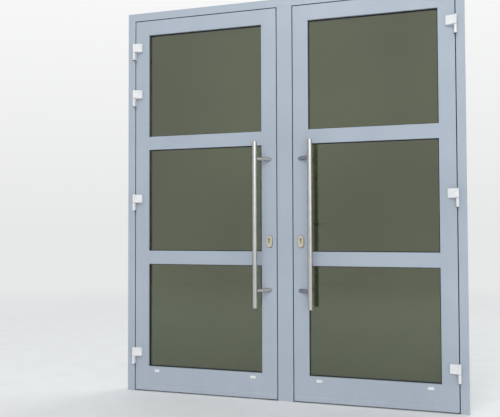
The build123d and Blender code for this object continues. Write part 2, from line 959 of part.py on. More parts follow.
def cylinder_roses(side):
    """Oval roses round the cylinder, one on each face of the leaf."""
    x = side * spindle_x
    z = cylinder_z - cylinder_above_rose_middle
    with BuildPart() as piece:
        for back, outer in ((0, 0), (profile_depth + rose_thickness, 1)):
            with BuildSketch(front_plane(back)):
                with Locations((x, z)):
                    SlotOverall(rose_height, rose_width, rotation=90)
            extrude(amount=rose_thickness)
        faces = piece.faces().sort_by(Axis.Y)
        fillet(faces[0].outer_wire().edges(), radius=rose_edge_round)
        faces = piece.faces().sort_by(Axis.Y)
        fillet(faces[-1].outer_wire().edges(), radius=rose_edge_round)
        with BuildSketch(front_plane(profile_depth + rose_thickness)):
            cylinder_section(x, cylinder_clearance)
        extrude(amount=profile_depth + 2 * rose_thickness, mode=Mode.SUBTRACT)
    save(piece, f"{side_names[side]}_cylinder_roses")


def lever_rose(side):
    """Round rose behind the lever."""
    with BuildPart() as piece:
        with BuildSketch(front_plane(profile_depth + rose_thickness)):
            with Locations((side * spindle_x, lever_z)):
                Circle(lever_rose_radius)
        extrude(amount=rose_thickness)
        fillet(piece.edges().filter_by(GeomType.CIRCLE).sort_by(Axis.Y)[-1], radius=rose_edge_round)
        with BuildSketch(front_plane(profile_depth + rose_thickness)):
            with Locations((side * spindle_x, lever_z)):
                Circle(lever_radius + lever_neck_fit)
        extrude(amount=rose_thickness, mode=Mode.SUBTRACT)
    save(piece, f"{side_names[side]}_lever_rose")


def lever_handle(side):
    """Bent round lever with its square spindle and the follower it turns in the lock."""
    grip_y = profile_depth + lever_stand_off
    neck_y = profile_depth + lever_neck_gap
    x = side * spindle_x
    with BuildPart() as piece:
        with BuildLine() as path:
            neck = Line((x, neck_y, lever_z), (x, grip_y - lever_bend, lever_z))
            bend = TangentArc(
                neck @ 1,
                (x + side * lever_bend, grip_y, lever_z),
                tangent=neck % 1,
            )
            Line(bend @ 1, (x + side * lever_length, grip_y, lever_z))
        with BuildSketch(Plane(origin=neck @ 0, z_dir=(0, 1, 0))):
            Circle(lever_radius)
        sweep(path=path.line)
        fillet(piece.faces().sort_by(Axis.X)[-1 if side > 0 else 0].edges(), radius=rose_edge_round)
        half = spindle_width / 2
        block(
            (x - half, lock_depth - bolt_thickness / 2, lever_z - half),
            (x + half, neck_y, lever_z + half),
        )
        with BuildSketch(front_plane(lock_depth + bolt_thickness / 2 - bolt_clearance)):
            with Locations((x, lever_z)):
                Circle(follower_radius)
        extrude(amount=bolt_thickness - 2 * bolt_clearance)
    save(piece, f"{side_names[side]}_lever")


def faceplate_levels():
    low = cylinder_z - faceplate_below_cylinder
    return low, low + faceplate_length


def strike_levels():
    low = dead_bolt_z - dead_bolt_height / 2 - strike_below_dead_bolt
    return low, low + strike_length


def lock_case(side):
    """Hollow lock case behind its faceplate, pierced for bolts, cylinder and spindle."""
    plate_bottom, plate_top = faceplate_levels()
    half = faceplate_width / 2
    thin = case_thickness / 2
    case_bottom = cylinder_z - case_below_cylinder
    case_front = lock_edge + faceplate_thickness
    case_back = lock_edge + case_depth + faceplate_thickness
    with BuildPart() as piece:
        block(
            (side * lock_edge, lock_depth - half, plate_bottom),
            (side * case_front, lock_depth + half, plate_top),
        )
        block(
            (side * case_front, lock_depth - thin, case_bottom),
            (side * case_back, lock_depth + thin, case_bottom + case_height),
        )
        block(
            (side * case_front, lock_depth - thin + case_wall, case_bottom + case_wall),
            (
                side * (case_back - case_wall),
                lock_depth + thin - case_wall,
                case_bottom + case_height - case_wall,
            ),
            mode=Mode.SUBTRACT,
        )
        with BuildSketch(Plane.YZ.offset(side * lock_edge)):
            bolt_windows(bolt_clearance)
        extrude(amount=side * faceplate_thickness, mode=Mode.SUBTRACT)
        with BuildSketch(front_plane(lock_depth + thin)):
            cylinder_section(side * spindle_x, cylinder_clearance)
            with Locations((side * spindle_x, lever_z)):
                Circle(follower_radius + follower_clearance)
        extrude(amount=case_thickness, mode=Mode.SUBTRACT)
    save(piece, f"{side_names[side]}_lock_case")


def latch_bolt(side):
    """Sprung latch with a bevelled nose, at rest in the strike."""
    half = bolt_thickness / 2
    outline = [
        (lock_edge - latch_throw, lock_depth - half),
        (lock_edge + latch_body - latch_throw, lock_depth - half),
        (lock_edge + latch_body - latch_throw, lock_depth + half),
        (lock_edge - latch_nose_land, lock_depth + half),
        (lock_edge - latch_throw, lock_depth - half + latch_tip),
    ]
    with BuildPart() as piece:
        with BuildSketch(Plane.XY.offset(lever_z - latch_height / 2)):
            Polygon(*[(side * x, y) for x, y in outline], align=None)
        extrude(amount=latch_height)
    save(piece, f"{side_names[side]}_latch_bolt")


def dead_bolt(side):
    """Dead bolt, at rest drawn back flush with the faceplate."""
    half = bolt_thickness / 2
    with BuildPart() as piece:
        block(
            (side * lock_edge, lock_depth - half, dead_bolt_z - dead_bolt_height / 2),
            (
                side * (lock_edge + dead_bolt_body),
                lock_depth + half,
                dead_bolt_z + dead_bolt_height / 2,
            ),
        )
        front = piece.faces().sort_by(Axis.X)[0 if side > 0 else -1]
        chamfer(front.edges().filter_by(Axis.Z), length=dead_bolt_chamfer)
    save(piece, f"{side_names[side]}_dead_bolt")


def lock_cylinder(side):
    """Profile cylinder body: both halves, bored for the plugs, joined by a bridge."""
    x = side * spindle_x
    back = profile_depth + rose_thickness + cylinder_proud
    length = back + rose_thickness + cylinder_proud
    half_gap = cam_width / 2 + cam_clearance
    bridge_top = cylinder_z - hypot(cam_reach, cam_tooth / 2) - cam_clearance
    with BuildPart() as piece:
        with BuildSketch(front_plane(back)):
            cylinder_section(x)
            with Locations((x, cylinder_z)):
                Circle(plug_radius + pin_running_fit, mode=Mode.SUBTRACT)
        extrude(amount=length)
        block(
            (x - 2 * cylinder_top_radius, lock_depth - half_gap, bridge_top),
            (x + 2 * cylinder_top_radius, lock_depth + half_gap, cylinder_z + 2 * cylinder_top_radius),
            mode=Mode.SUBTRACT,
        )
    save(piece, f"{side_names[side]}_lock_cylinder")


def outer_plug(side):
    """Outer key plug, carrying the cam that throws the dead bolt."""
    x = side * spindle_x
    front = -(rose_thickness + cylinder_proud + plug_proud)
    back = lock_depth + cam_width / 2
    with BuildPart() as piece:
        with BuildSketch(front_plane(back)):
            with Locations((x, cylinder_z)):
                Circle(plug_radius)
        extrude(amount=back - front)
        with BuildSketch(front_plane(back)):
            with Locations((x, cylinder_z)):
                Circle(cam_ring_radius)
            with Locations((x, cylinder_z - cam_reach / 2)):
                Rectangle(cam_tooth, cam_reach)
        extrude(amount=cam_width)
        with BuildSketch(front_plane(front + keyway_depth)):
            with Locations((x, cylinder_z)):
                Rectangle(keyway_width, keyway_height)
        extrude(amount=keyway_depth, mode=Mode.SUBTRACT)
    save(piece, f"{side_names[side]}_outer_plug")


def inner_plug(side):
    """Inner key plug."""
    x = side * spindle_x
    front = lock_depth + cam_width / 2 + cam_clearance
    back = profile_depth + rose_thickness + cylinder_proud + plug_proud
    with BuildPart() as piece:
        with BuildSketch(front_plane(back)):
            with Locations((x, cylinder_z)):
                Circle(plug_radius)
        extrude(amount=back - front)
        with BuildSketch(front_plane(back)):
            with Locations((x, cylinder_z)):
                Rectangle(keyway_width, keyway_height)
        extrude(amount=keyway_depth, mode=Mode.SUBTRACT)
    save(piece, f"{side_names[side]}_inner_plug")


def strike_screw_places():
    """Heights of the two screws of a strike plate."""
    low, high = strike_levels()
    return [low + strike_screw_inset, high - strike_screw_inset]


def strikes():
    """Strike plates on the mullion's sides, open for latch and dead bolt."""
    low, high = strike_levels()
    face = mullion_face / 2
    with BuildPart() as piece:
        for side in side_names:
            with BuildSketch(Plane.YZ.offset(side * face)):
                with Locations((lock_depth, (low + high) / 2)):
                    Rectangle(faceplate_width, high - low)
                bolt_windows(strike_clearance, mode=Mode.SUBTRACT)
            extrude(amount=side * strike_thickness)
            for z in strike_screw_places():
                front = (side * (face + strike_thickness), lock_depth, z)
                with Locations(Plane(origin=front, z_dir=(side, 0, 0))):
                    CounterSinkHole(
                        radius=strike_screw_radius + screw_fit,
                        counter_sink_radius=strike_screw_head + screw_fit,
                        depth=strike_thickness,
                        counter_sink_angle=strike_screw_angle,
                    )
    save(piece, "strikes")


def strike_screws():
    """Countersunk screws of the strike plates."""
    cone = strike_screw_head - strike_screw_radius
    outline = [
        (0, 0),
        (strike_screw_head, 0),
        (strike_screw_radius, -cone),
        (strike_screw_radius, -strike_screw_length),
        (0, -strike_screw_length),
    ]
    face = mullion_face / 2 + strike_thickness
    with BuildPart() as piece:
        for side in side_names:
            for z in strike_screw_places():
                head_middle = (side * face, lock_depth, z)
                lengthwise = Plane(origin=head_middle, x_dir=(0, 1, 0), z_dir=(0, 0, -side))
                with BuildSketch(lengthwise):
                    Polygon(*outline, align=None)
                revolve(axis=Axis(head_middle, (side, 0, 0)))
    save(piece, "strike_screws")


head()
mullion()
thresholds()
stop_seals()
hinge_barrels()
hinge_pins()
strikes()
strike_screws()
for hand in side_names:
    jamb(hand)
    hinge_stile(hand)
    lock_stile(hand)
    top_rail(hand)
    mid_rails(hand)
    bottom_rail(hand)
    glass(hand)
    glass_spacers(hand)
    glazing_gaskets(hand)
    glazing_beads(hand)
    setting_blocks(hand)
    drain_caps(hand)
    bottom_strip(hand)
    foot_seal(hand)
    hinge_wings(hand)
    hinge_bushes(hand)
    pull_handle(hand)
    cylinder_roses(hand)
    lever_rose(hand)
    lever_handle(hand)
    lock_case(hand)
    latch_bolt(hand)
    dead_bolt(hand)
    lock_cylinder(hand)
    outer_plug(hand)
    inner_plug(hand)
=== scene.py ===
import json
from math import cos, pi, radians, sin, sqrt
from random import Random

import bmesh
import bpy
from mathutils import Matrix, Vector


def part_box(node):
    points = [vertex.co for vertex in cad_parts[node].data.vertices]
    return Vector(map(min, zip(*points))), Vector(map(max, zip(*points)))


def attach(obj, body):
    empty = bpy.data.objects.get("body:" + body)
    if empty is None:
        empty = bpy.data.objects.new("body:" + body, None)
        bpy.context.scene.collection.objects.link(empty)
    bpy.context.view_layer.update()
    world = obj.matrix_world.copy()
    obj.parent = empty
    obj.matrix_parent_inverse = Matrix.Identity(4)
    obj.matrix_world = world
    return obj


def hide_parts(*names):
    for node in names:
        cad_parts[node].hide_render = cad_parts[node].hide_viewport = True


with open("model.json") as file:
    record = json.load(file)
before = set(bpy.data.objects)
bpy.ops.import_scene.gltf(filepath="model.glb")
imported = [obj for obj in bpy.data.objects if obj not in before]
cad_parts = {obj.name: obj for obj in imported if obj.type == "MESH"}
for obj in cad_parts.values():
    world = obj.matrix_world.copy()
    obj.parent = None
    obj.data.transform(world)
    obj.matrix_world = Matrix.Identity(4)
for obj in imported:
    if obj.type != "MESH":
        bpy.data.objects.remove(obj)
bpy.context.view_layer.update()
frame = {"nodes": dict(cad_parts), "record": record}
nodes = frame["nodes"]

# The door stands on z = 0 with its outer face at y = 0, seen from -Y. Lengths are in metres.

# Camera, fitted to the straight edges in the photograph
photo_width = 500
focal_pixels = 650.0
sensor_width = 36.0
view_depth = 200
camera_place = Vector((0.9319, -3.8540, 1.0441))
camera_yaw = 0.29084
camera_pitch = 0.03079
camera_roll = 0.0034

# Finishes, as linear colours: each with the shade that it varies to
paint_colour = (0.415, 0.468, 0.542)
paint_shade = (0.382, 0.433, 0.505)
dust_colour = (0.500, 0.490, 0.460)
dust_height = 0.22
dust_cover = 0.45
# The glass tint is dark green-grey and stands in for the dark room behind the glass (painted shade);
# the mirror tint turns the glass's reflections green (painted reflection)
glass_painted_shade_tint = (0.225, 0.255, 0.170)
glass_shade = (0.180, 0.204, 0.136)
glass_painted_reflection_tint = (0.97, 1.0, 0.86)
glass_refraction = 1.9
rubber_colour = (0.012, 0.012, 0.013)
rubber_shade = (0.035, 0.035, 0.034)
rubber_bloom = 0.5
rubber_shine = 0.2
fibre_colour = (0.008, 0.008, 0.009)
fibre_shade = (0.050, 0.050, 0.052)
spacer_colour = (0.480, 0.490, 0.500)
spacer_shade = (0.400, 0.410, 0.420)
hinge_colour = (0.840, 0.840, 0.842)
hinge_shade = (0.770, 0.772, 0.776)
steel_colour = (0.570, 0.565, 0.555)
steel_shade = (0.470, 0.465, 0.455)
# The stainless's dark edge tint darkens its reflections towards the outline of the bars and posts:
# painted shade
steel_painted_dark_edge = (0.150, 0.145, 0.140)
plain_edge = (1.0, 1.0, 1.0)
hard_steel_colour = (0.500, 0.500, 0.510)
hard_steel_shade = (0.400, 0.400, 0.410)
champagne_colour = (0.620, 0.560, 0.450)
champagne_shade = (0.540, 0.485, 0.385)
# The cylinders' nickel is made dark and stands in for the shade on the lock cylinders in the roses:
# painted shade
painted_dark_nickel_colour = (0.400, 0.370, 0.305)
painted_dark_nickel_shade = (0.310, 0.285, 0.230)
smudge_roughness = 0.06
dark_plastic_colour = (0.030, 0.031, 0.033)
dark_plastic_shade = (0.050, 0.050, 0.050)
grey_plastic_colour = (0.260, 0.285, 0.310)
grey_plastic_shade = (0.220, 0.240, 0.260)
white_plastic_colour = (0.820, 0.825, 0.820)
white_plastic_shade = (0.740, 0.740, 0.730)
floor_colour = (0.930, 0.928, 0.920)
floor_shade = (0.8928, 0.8909, 0.8832)

# Spans of a noise's value that patches run over: the narrower, the harder their edges
soft_span = (0.35, 0.65)
wide_span = (0.30, 0.70)
blotch_span = (0.35, 0.70)
streak_span = (0.45, 0.75)
bloom_span = (0.40, 0.80)
strand_span = (0.40, 0.60)

# Parts of a metal's or a satin coat's roughness that it varies between
metal_roughness_parts = (0.85, 1.15)
satin_roughness_parts = (0.85, 1.20)

# Edge rounding by modifiers, on the CAD pieces whose names hold one of these words
profile_words = ("jamb", "head", "mullion", "hinge_stile", "rail", "thresholds", "strip", "beads")
profile_edge = 0.0006
small_words = ("hinge_wings", "hinge_barrels", "drain_caps", "gaskets", "lock_case", "bolt")
small_edge = 0.0004
edge_segments = 2
weld_distance = 0.00001
sharp_angle = radians(35)
shading_weight = 80

# Lamps, what they point at, and the light and look of the surroundings
key_place = (-1.6, -12.0, 9.5)
fill_place = (3.2, -6.0, 1.0)
back_place = (1.5, 3.2, 4.9)
door_middle = (0, 0, 1.2)
door_foot = (0, 0, 0.4)
world_colour = (0.93, 0.97, 1.0)
world_light = 0.66
horizon_colour = (0.800, 0.805, 0.810)
backdrop_colour = (1.0, 1.0, 1.0)
backdrop_rise = 0.5
floor_size = 200
floor_fade_start = 2.5
floor_fade_end = 9.0

# Bright patch of the backdrop that only reflections show
glow_side = radians(28)
glow_rise = radians(10)
glow_spread = radians(28)
glow_fade_in = 0.14
glow_light = 4.5

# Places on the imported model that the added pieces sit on
hands = {"left": -1, "right": 1}
hinge_axis_x = 1.003
hinge_axis_y = -0.024
hinge_levels = {"left": (0.2265, 1.2135, 1.8955, 2.2005), "right": (0.2265, 1.2135, 2.2005)}
barrel_foot_drop = 0.052
knuckle_top_rise = 0.053
jamb_inside_x = 1.0055
mullion_side_x = 0.0475
head_bottom_z = 2.410
shade_seal_foot_z = 0.003
anchor_y = 0.020
anchor_levels = (0.180, 0.880, 1.580, 2.280)
head_anchor_x = 0.500
lock_middle_y = 0.019
strike_front_x = 0.050
strike_screw_levels = (0.980, 1.106)
lock_edge_x = 0.0525
faceplate_screw_levels = (0.917, 1.163)
rose_middle = (0.0985, 0.963)
rose_radius = 0.0185
rose_half_straight = 0.0175
inner_face_y = 0.065
bar_place = (0.170, -0.075)
bar_radius = 0.015
bar_sideways = 0.0715
post_radius = 0.011
post_levels = (0.668, 1.468)

# Sections of the turned pieces, as radius and height
barrel_cap_section = ((0.0079, 0.0), (0.0079, 0.0026), (0.0070, 0.0036))
knuckle_cap_section = ((0.0076, 0.0), (0.0076, 0.0014), (0.0067, 0.0022))
anchor_cap_section = (
    (0.0066, -0.0015),
    (0.0066, 0.0),
    (0.0085, 0.0),
    (0.0085, 0.0004),
    (0.0078, 0.0010),
)
sunk_screw_section = ((0.0021, -0.0180), (0.0021, -0.0025), (0.0046, 0.0))
raised_screw_section = ((0.0021, -0.0060), (0.0042, -0.0020), (0.0042, 0.0002), (0.0034, 0.0008))
turned_steps = 48
fine_steps = 96

# Hexagonal sockets of the hinge caps, and cross recesses of the screws
socket_half_width = 0.0025
socket_depth = 0.0020
recess_reach = 0.0026
recess_half_width = 0.0005
recess_depth = 0.0014

# Section of the black lip seals set just inside the joints, a dark sheet standing in for the shade
# in the open joints (painted shade), as distance into the joint and depth behind the outer face
shade_seal_section = (
    (0.0, 0.0026),
    (0.0010, 0.0026),
    (0.0032, 0.0042),
    (0.0032, 0.0050),
    (0.0010, 0.0066),
    (0.0, 0.0066),
)

# Rose gaskets, whose dark rim round each rose also stands in for its contact shadow (partly painted
# shade), and the beads round the handle's posts
gasket_lip = 0.0015
gasket_thickness = 0.0014
weld_radius = 0.0013
washer_radius = 0.0008
bead_steps = 64
bead_corners = 10

# Bristles of the brush seals
bristle_seed = 7
bristle_rows = 5
bristle_corners = 3
bristle_pitch = 0.0016
bristle_radius = 0.00055
bristle_tip_radius = 0.00030
bristle_lean = 0.0006
bristle_carrier = 0.0015


def texture_place(tree, stretch):
    """Position on the piece itself, multiplied by a factor for each axis."""
    place = tree.nodes.new("ShaderNodeTexCoord")
    mapping = tree.nodes.new("ShaderNodeMapping")
    mapping.inputs["Scale"].default_value = stretch
    tree.links.new(place.outputs["Object"], mapping.inputs["Vector"])
    return mapping.outputs["Vector"]


def noise(tree, cells, detail=2.0, stretch=(1, 1, 1), roughness=0.5):
    """Noise of a number of cells a metre."""
    texture = tree.nodes.new("ShaderNodeTexNoise")
    texture.inputs["Scale"].default_value = cells
    texture.inputs["Detail"].default_value = detail
    texture.inputs["Roughness"].default_value = roughness
    tree.links.new(texture_place(tree, stretch), texture.inputs["Vector"])
    return texture.outputs["Fac"]


def ranged(tree, value, low, high, to_low=0.0, to_high=1.0):
    """A value moved from one range to another and kept inside it."""
    node = tree.nodes.new("ShaderNodeMapRange")
    node.inputs["From Min"].default_value = low
    node.inputs["From Max"].default_value = high
    node.inputs["To Min"].default_value = to_low
    node.inputs["To Max"].default_value = to_high
    tree.links.new(value, node.inputs["Value"])
    return node.outputs["Result"]


def product(tree, first, second):
    """Two values multiplied."""
    node = tree.nodes.new("ShaderNodeMath")
    node.operation = "MULTIPLY"
    tree.links.new(first, node.inputs[0])
    tree.links.new(second, node.inputs[1])
    return node.outputs["Value"]


def colour_mix(tree, factor, first, second):
    """Mix of two colours, where the first may be the output of another node."""
    node = tree.nodes.new("ShaderNodeMix")
    node.data_type = "RGBA"
    tree.links.new(factor, node.inputs["Factor"])
    if isinstance(first, tuple):
        node.inputs["A"].default_value = (*first, 1)
    else:
        tree.links.new(first, node.inputs["A"])
    node.inputs["B"].default_value = (*second, 1)
    return node.outputs["Result"]


def height_above_floor(tree):
    """Height of a point on a piece, whose object sits at the origin."""
    place = tree.nodes.new("ShaderNodeTexCoord")
    split = tree.nodes.new("ShaderNodeSeparateXYZ")
    tree.links.new(place.outputs["Object"], split.inputs["Vector"])
    return split.outputs["Z"]


def patches(tree, cells, detail, span, stretch=(1, 1, 1)):
    """Patches from 0 to 1, of a number of cells a metre."""
    return ranged(tree, noise(tree, cells, detail, stretch), *span)


def tinted(tree, shader, factor, first, second):
    """Gives a shader a base colour that varies between two."""
    tree.links.new(colour_mix(tree, factor, first, second), shader.inputs["Base Color"])


def uneven_shine(tree, shader, cells, smoothest, roughest):
    """Gives a shader a roughness that varies between two values."""
    rough = ranged(tree, noise(tree, cells, detail=3), *wide_span, smoothest, roughest)
    tree.links.new(rough, shader.inputs["Roughness"])


def bumped(tree, shader, height, distance):
    """Raises a shader's surface by up to a distance in metres."""
    node = tree.nodes.new("ShaderNodeBump")
    node.inputs["Distance"].default_value = distance
    tree.links.new(height, node.inputs["Height"])
    tree.links.new(node.outputs["Normal"], shader.inputs["Normal"])


def new_material(name, metallic=0.0, roughness=0.5):
    """Material with node tree and shader, still without textures."""
    material = bpy.data.materials.new(name)
    material.use_nodes = True
    tree = material.node_tree
    shader = tree.nodes["Principled BSDF"]
    shader.inputs["Metallic"].default_value = metallic
    shader.inputs["Roughness"].default_value = roughness
    return material, tree, shader


def powder_coat():
    """Blue-grey satin powder coat with a fine orange-peel skin and dust near the floor."""
    material, tree, shader = new_material("powder_coat")
    clouds = patches(tree, cells=2.2, detail=4, span=soft_span)
    paint = colour_mix(tree, clouds, paint_colour, paint_shade)
    streaks = patches(tree, cells=9, detail=5, span=streak_span, stretch=(6, 6, 0.7))
    low_down = ranged(tree, height_above_floor(tree), dust_height, 0.0, to_high=dust_cover)
    tinted(tree, shader, product(tree, streaks, low_down), paint, dust_colour)
    uneven_shine(tree, shader, cells=30, smoothest=0.29, roughest=0.40)
    bumped(tree, shader, noise(tree, cells=900), distance=0.00006)
    return material


def glass():
    """Glass tinted dark green-grey as a painted shade of the dark room behind it, with green-tinted
    reflections as a painted reflection; its tint very slightly uneven.
    """
    material, tree, shader = new_material("glass_painted_shade_and_reflection", roughness=0.0)
    shader.inputs["Transmission Weight"].default_value = 1.0
    shader.inputs["IOR"].default_value = glass_refraction
    shader.inputs["Specular Tint"].default_value = (*glass_painted_reflection_tint, 1)
    tint_patches = patches(tree, cells=0.9, detail=1, span=soft_span)
    tinted(tree, shader, tint_patches, glass_painted_shade_tint, glass_shade)
    return material


def rubber():
    """Near-black extruded rubber with a faint bloom."""
    material, tree, shader = new_material("black_rubber")
    shader.inputs["Specular IOR Level"].default_value = rubber_shine
    bloom = ranged(tree, noise(tree, cells=25, detail=4), *bloom_span, to_high=rubber_bloom)
    tinted(tree, shader, bloom, rubber_colour, rubber_shade)
    uneven_shine(tree, shader, cells=60, smoothest=0.50, roughest=0.72)
    bumped(tree, shader, noise(tree, cells=1500), distance=0.00004)
    return material


def brushed_metal(name, colour, shade, roughness, grain, edge=plain_edge):
    """Metal with fine grinding lines; grain is their cells a metre along each axis."""
    material, tree, shader = new_material(name, metallic=1.0)
    # A dark edge tint darkens the reflections towards a piece's outline: painted shade on the
    # stainless
    shader.inputs["Specular Tint"].default_value = (*edge, 1)
    lines = noise(tree, cells=1.0, detail=3, stretch=grain, roughness=0.6)
    tinted(tree, shader, ranged(tree, lines, *soft_span), colour, shade)
    smudges = patches(tree, cells=14, detail=4, span=blotch_span)
    smoothest, roughest = (part * roughness for part in metal_roughness_parts)
    fine = ranged(tree, lines, *wide_span, smoothest, roughest)
    rough = tree.nodes.new("ShaderNodeMath")
    rough.operation = "MULTIPLY_ADD"
    rough.inputs[1].default_value = smudge_roughness
    tree.links.new(smudges, rough.inputs[0])
    tree.links.new(fine, rough.inputs[2])
    tree.links.new(rough.outputs["Value"], shader.inputs["Roughness"])
    bumped(tree, shader, lines, distance=0.00001)
    return material


def satin_coat(name, colour, shade, metallic, roughness, grain=700):
    """Fine satin finish, a little uneven in colour and shine."""
    material, tree, shader = new_material(name, metallic=metallic)
    blotches = patches(tree, cells=22, detail=4, span=blotch_span)
    tinted(tree, shader, blotches, colour, shade)
    smoothest, roughest = (part * roughness for part in satin_roughness_parts)
    uneven_shine(tree, shader, cells=55, smoothest=smoothest, roughest=roughest)
    bumped(tree, shader, noise(tree, cells=grain), distance=0.00003)
    return material


def plastic(name, colour, shade, roughness):
    """Moulded plastic with a fine spark-eroded grain."""
    return satin_coat(name, colour, shade, metallic=0.0, roughness=roughness, grain=1600)


def fibres():
    """Dense black bristles, drawn as upright streaks."""
    material, tree, shader = new_material("brush_fibres", roughness=0.8)
    strands = noise(tree, cells=1.0, stretch=(2200, 900, 60))
    tinted(tree, shader, ranged(tree, strands, *strand_span), fibre_colour, fibre_shade)
    bumped(tree, shader, strands, distance=0.0006)
    return material


finishes = {
    "frame_paint": powder_coat(),
    "glass": glass(),
    "black_rubber": rubber(),
    "spacer_aluminium": satin_coat(
        "spacer_metal", spacer_colour, spacer_shade, metallic=0.8, roughness=0.4
    ),
    "hinge_silver": satin_coat(
        "hinge_coat", hinge_colour, hinge_shade, metallic=0.0, roughness=0.48
    ),
    "stainless": brushed_metal(
        "stainless", steel_colour, steel_shade, roughness=0.24, grain=(25, 25, 2400), edge=steel_painted_dark_edge
    ),
    "hard_steel": brushed_metal(
        "hard_steel", hard_steel_colour, hard_steel_shade, roughness=0.32, grain=(900, 900, 60)
    ),
    "champagne": brushed_metal(
        "champagne_anodised", champagne_colour, champagne_shade, roughness=0.34, grain=(60, 60, 1800)
    ),
    # Darkened nickel on the lock cylinders: painted shade
    "cylinder_brass": brushed_metal(
        "nickelled_brass_painted_dark", painted_dark_nickel_colour, painted_dark_nickel_shade, roughness=0.28, grain=(1500, 80, 1500)
    ),
    "bush_plastic": plastic("bush_plastic", dark_plastic_colour, dark_plastic_shade, 0.5),
    "block_plastic": plastic("block_plastic", grey_plastic_colour, grey_plastic_shade, 0.5),
    "white_plastic": plastic("white_plastic", white_plastic_colour, white_plastic_shade, 0.42),
    "brush_fibre": fibres(),
}


def round_edges(item, width):
    """Welds a CAD piece's split points, rounds its sharp edges and evens its shading."""
    weld = item.modifiers.new("weld", "WELD")
    weld.merge_threshold = weld_distance
    bevel = item.modifiers.new("edge", "BEVEL")
    bevel.width = width
    bevel.segments = edge_segments
    bevel.limit_method = "ANGLE"
    bevel.angle_limit = sharp_angle
    bevel.miter_outer = "MITER_ARC"
    weighted = item.modifiers.new("shading", "WEIGHTED_NORMAL")
    weighted.keep_sharp = False
    weighted.weight = shading_weight


def dress_cad_pieces():
    """Gives every CAD piece its finish, and rounded edges where they show.

    The lock stiles keep their own edges: rounding creases the long thin triangles at their cut-outs.
    """
    slots = {part["node"]: part["material_slot"] for part in frame["record"]["subparts"]}
    for name, item in nodes.items():
        item.data.materials.clear()
        item.data.materials.append(finishes[slots[name]])
        if any(word in name for word in profile_words):
            round_edges(item, profile_edge)
        elif any(word in name for word in small_words):
            round_edges(item, small_edge)


def hexagon(half_width):
    """Outline of a hexagon, as a radius for each angle."""
    return lambda angle: half_width / cos(angle % (pi / 3) - pi / 6)


def cross(reach, half_width):
    """Outline of an upright cross, as a radius for each angle."""
    least = 1e-6

    def radius(angle):
        level = max(abs(cos(angle)), least)
        upright = max(abs(sin(angle)), least)
        return max(
            min(reach / level, half_width / upright),
            min(half_width / level, reach / upright),
        )

    return radius


def oval(end_radius, half_straight):
    """Outline of an upright oval with straight sides, as a radius for each angle."""

    def radius(angle):
        level = abs(cos(angle))
        upright = abs(sin(angle))
        if end_radius * upright <= half_straight * level:
            return end_radius / level
        return half_straight * upright + sqrt(end_radius**2 - (half_straight * level) ** 2)

    return radius


def add_rings(build, rings, closed):
    """Skins a row of rings, closed into a loop or capped at both ends."""
    pairs = list(zip(rings, rings[1:]))
    if closed:
        pairs.append((rings[-1], rings[0]))
    else:
        build.faces.new(list(reversed(rings[0])))
        build.faces.new(rings[-1])
    for low, high in pairs:
        for step in range(len(low)):
            after = (step + 1) % len(low)
            build.faces.new((low[step], low[after], high[after], high[step]))


def add_turned(build, section, place, direction, steps=turned_steps, hollow=False):
    """Adds a form round a direction; a section's radius may be an outline."""
    turn = Vector(direction).to_track_quat("Z", "Y").to_matrix().to_4x4()
    matrix = Matrix.Translation(place) @ turn
    rings = []
    for radius, height in section:
        ring = []
        for step in range(steps):
            angle = 2 * pi * step / steps
            reach = radius(angle) if callable(radius) else radius
            corner = Vector((reach * cos(angle), reach * sin(angle), height))
            ring.append(build.verts.new(matrix @ corner))
        rings.append(ring)
    add_rings(build, rings, hollow)


def with_recess(section, outline, depth):
    """Continues a section's flat end into a recess of another outline."""
    top = section[-1][1]
    return (*section, (outline, top), (outline, top - depth))


def add_bead(build, line, radius):
    """Adds a round bead along a closed line."""
    middle = sum(line, Vector()) / len(line)
    rings = []
    for index, point in enumerate(line):
        ahead = (line[(index + 1) % len(line)] - line[index - 1]).normalized()
        outward = point - middle
        outward = (outward - ahead * outward.dot(ahead)).normalized()
        across = ahead.cross(outward)
        ring = []
        for step in range(bead_corners):
            angle = 2 * pi * step / bead_corners
            offset = outward * cos(angle) + across * sin(angle)
            ring.append(build.verts.new(point + radius * offset))
        rings.append(ring)
    add_rings(build, rings, True)


def new_piece(name, build, finish, body):
    """Makes a piece from a mesh under construction, with its finish and the body it rides on."""
    bmesh.ops.recalc_face_normals(build, faces=build.faces)
    mesh = bpy.data.meshes.new(name)
    build.to_mesh(mesh)
    build.free()
    mesh.shade_smooth()
    mesh.set_sharp_from_angle(angle=sharp_angle)
    mesh.materials.append(finishes[finish])
    piece = bpy.data.objects.new(name, mesh)
    bpy.context.scene.collection.objects.link(piece)
    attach(piece, body)
    return piece


def hinge_caps():
    """Plugs with a hexagonal socket, below every barrel and on top of every knuckle."""
    socket = hexagon(socket_half_width)
    barrel_section = with_recess(barrel_cap_section, socket, socket_depth)
    knuckle_section = with_recess(knuckle_cap_section, socket, socket_depth)
    below = bmesh.new()
    for hand, side in hands.items():
        above = bmesh.new()
        for level in hinge_levels[hand]:
            foot = (side * hinge_axis_x, hinge_axis_y, level - barrel_foot_drop)
            top = (side * hinge_axis_x, hinge_axis_y, level + knuckle_top_rise)
            add_turned(below, barrel_section, foot, (0, 0, -1))
            add_turned(above, knuckle_section, top, (0, 0, 1))
        new_piece(f"{hand}_knuckle_caps", above, "hinge_silver", f"{hand}_leaf")
    # The caps below the barrels are dark plastic, and their darkness also stands in for the shadow
    # under each barrel: partly painted shade
    new_piece("barrel_caps_painted_shade", below, "bush_plastic", "frame")


